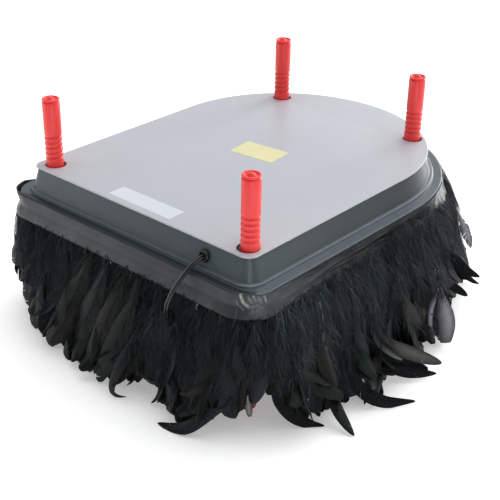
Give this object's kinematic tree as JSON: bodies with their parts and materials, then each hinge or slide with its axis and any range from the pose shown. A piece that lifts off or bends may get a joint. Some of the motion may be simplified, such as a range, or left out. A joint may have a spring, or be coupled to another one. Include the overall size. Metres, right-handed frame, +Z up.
{
  "type": "brooder heating plate",
  "caption": "D-shaped heating plate for chicks on height-adjustable legs, with a feather skirt hung from its flange, a flat grey cover and a mains cord.",
  "frame": {"origin": "on the floor, under the middle of the plate and skirt, with the feet at z = 0", "axes": "+Z up, +X along the straight cable-side edge, +Y towards the round end"},
  "size_m": [0.552, 0.6116, 0.291],
  "materials": {
    "cover_sheet": "satin",
    "housing_plastic": "satin",
    "black_plastic": "satin",
    "white_plastic": "satin",
    "red_plastic": "gloss",
    "sealant": "satin",
    "aluminium_sheet": "satin",
    "heater_sheath": "satin",
    "foam": "matte",
    "fuse_ceramic": "satin",
    "steel": "satin",
    "lead_sheath": "satin",
    "black_rubber": "satin",
    "cord_sheath": "satin",
    "pin_brass": "polished",
    "white_label": "satin",
    "yellow_sticker": "satin",
    "skirt_tape": "satin",
    "feathers": "satin"
  },
  "bodies": {
    "plate": {"top_cover": "cover_sheet", "housing": "housing_plastic", "heating_panel": "black_plastic", "panel_sealant": "sealant", "heat_spreader": "aluminium_sheet", "heating_cable": "heater_sheath", "insulation_board": "foam", "thermostat": "black_plastic", "thermal_fuse": "fuse_ceramic", "terminal_block": "white_plastic", "inner_cord": "cord_sheath", "cord_clamp": "black_plastic", "clamp_screws": "steel", "brown_lead": "lead_sheath", "blue_lead": "lead_sheath", "thermostat_lead": "lead_sheath", "fuse_lead": "lead_sheath", "heater_lead": "lead_sheath", "return_lead": "lead_sheath", "cable_grommet": "black_rubber", "power_cord": "cord_sheath", "cord_coil": "cord_sheath", "cord_tail": "cord_sheath", "cord_tie": "white_plastic", "plug_body": "black_plastic", "plug_pins": "pin_brass", "blank_label": "white_label", "blank_sticker": "yellow_sticker", "skirt_band": "skirt_tape", "feather_header": "skirt_tape", "feather_front_left": "feathers", "feather_front_right": "feathers", "feather_left": "feathers", "feather_right": "feathers", "feather_back": "feathers", "guide_front_left": "black_plastic", "guide_front_right": "black_plastic", "guide_rear_left": "black_plastic", "guide_rear_right": "black_plastic", "guide_nuts": "black_plastic", "grip_rings": "black_rubber"},
    "leg_front_left": {"leg_front_left": "red_plastic", "cap_front_left": "red_plastic", "foot_front_left": "red_plastic"},
    "leg_front_right": {"leg_front_right": "red_plastic", "cap_front_right": "red_plastic", "foot_front_right": "red_plastic"},
    "leg_rear_left": {"leg_rear_left": "red_plastic", "cap_rear_left": "red_plastic", "foot_rear_left": "red_plastic"},
    "leg_rear_right": {"leg_rear_right": "red_plastic", "cap_rear_right": "red_plastic", "foot_rear_right": "red_plastic"}
  },
  "joints": [
    {"name": "slide_front_left", "type": "slide", "parent": "plate", "child": "leg_front_left", "axis": [0, 0, 1], "range_m": [-0.067, 0.0804]},
    {"name": "slide_front_right", "type": "slide", "parent": "plate", "child": "leg_front_right", "axis": [0, 0, 1], "range_m": [-0.067, 0.0804]},
    {"name": "slide_rear_left", "type": "slide", "parent": "plate", "child": "leg_rear_left", "axis": [0, 0, 1], "range_m": [-0.067, 0.0804]},
    {"name": "slide_rear_right", "type": "slide", "parent": "plate", "child": "leg_rear_right", "axis": [0, 0, 1], "range_m": [-0.067, 0.0804]}
  ]
}
